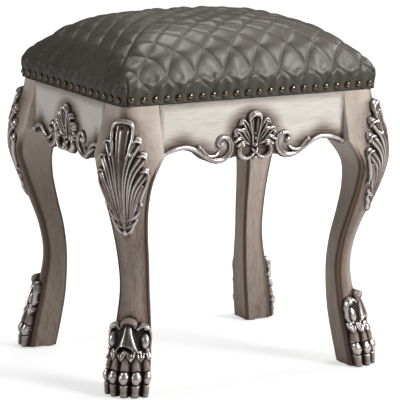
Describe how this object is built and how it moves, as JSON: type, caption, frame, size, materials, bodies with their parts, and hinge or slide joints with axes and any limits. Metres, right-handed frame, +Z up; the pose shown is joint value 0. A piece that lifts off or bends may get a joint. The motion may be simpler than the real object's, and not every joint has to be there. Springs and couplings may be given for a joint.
{
  "type": "vanity_stool",
  "caption": "Vanity stool with cabriole legs, carved knees and paw feet, scrolled aprons and a diamond-quilted leather seat edged with brass nails",
  "frame": {"origin": "on the floor under the middle of the seat", "axes": "+Z up, +X along the wide front to the right of someone facing it, +Y from the front to the rear"},
  "size_m": [0.4678, 0.4058, 0.5255],
  "materials": {
    "pearl_wood": "pearl bone paint with a rubbed brown glaze, satin",
    "silver_carving": "antique silver leaf with a dark brown patina in the hollows",
    "taupe_leather": "bonded leather, diamond quilted, soft sheen",
    "antique_brass": "antique brass nail heads",
    "foam": "cut polyurethane foam",
    "plywood": "unfinished plywood",
    "bare_wood": "unfinished hardwood",
    "zinc_steel": "zinc plated",
    "nylon": "moulded nylon",
    "black_cambric": "thin non-woven cloth"
  },
  "bodies": {
    "root": {"apron_front": "pearl_wood", "apron_left": "pearl_wood", "apron_rear": "pearl_wood", "apron_right": "pearl_wood", "block_screws": "zinc_steel", "bolt_nuts": "zinc_steel", "bolt_washers": "zinc_steel", "cartouche_front": "silver_carving", "cartouche_left": "silver_carving", "cartouche_rear": "silver_carving", "cartouche_right": "silver_carving", "corner_block_front_left": "bare_wood", "corner_block_front_right": "bare_wood", "corner_block_rear_left": "bare_wood", "corner_block_rear_right": "bare_wood", "dust_cover": "black_cambric", "glide_front_left": "nylon", "glide_front_right": "nylon", "glide_rear_left": "nylon", "glide_rear_right": "nylon", "hanger_bolts": "zinc_steel", "knee_carving_front_left": "silver_carving", "knee_carving_front_right": "silver_carving", "knee_carving_rear_left": "silver_carving", "knee_carving_rear_right": "silver_carving", "leg_front_left": "pearl_wood", "leg_front_right": "pearl_wood", "leg_rear_left": "pearl_wood", "leg_rear_right": "pearl_wood", "nails": "antique_brass", "paw_carving_front_left": "silver_carving", "paw_carving_front_right": "silver_carving", "paw_carving_rear_left": "silver_carving", "paw_carving_rear_right": "silver_carving", "rail_dowels": "bare_wood", "scroll_front_a": "silver_carving", "scroll_front_b": "silver_carving", "scroll_left_a": "silver_carving", "scroll_left_b": "silver_carving", "scroll_rear_a": "silver_carving", "scroll_rear_b": "silver_carving", "scroll_right_a": "silver_carving", "scroll_right_b": "silver_carving", "seat_board": "plywood", "seat_cover": "taupe_leather", "seat_foam": "foam", "seat_screws": "zinc_steel"}
  },
  "joints": []
}
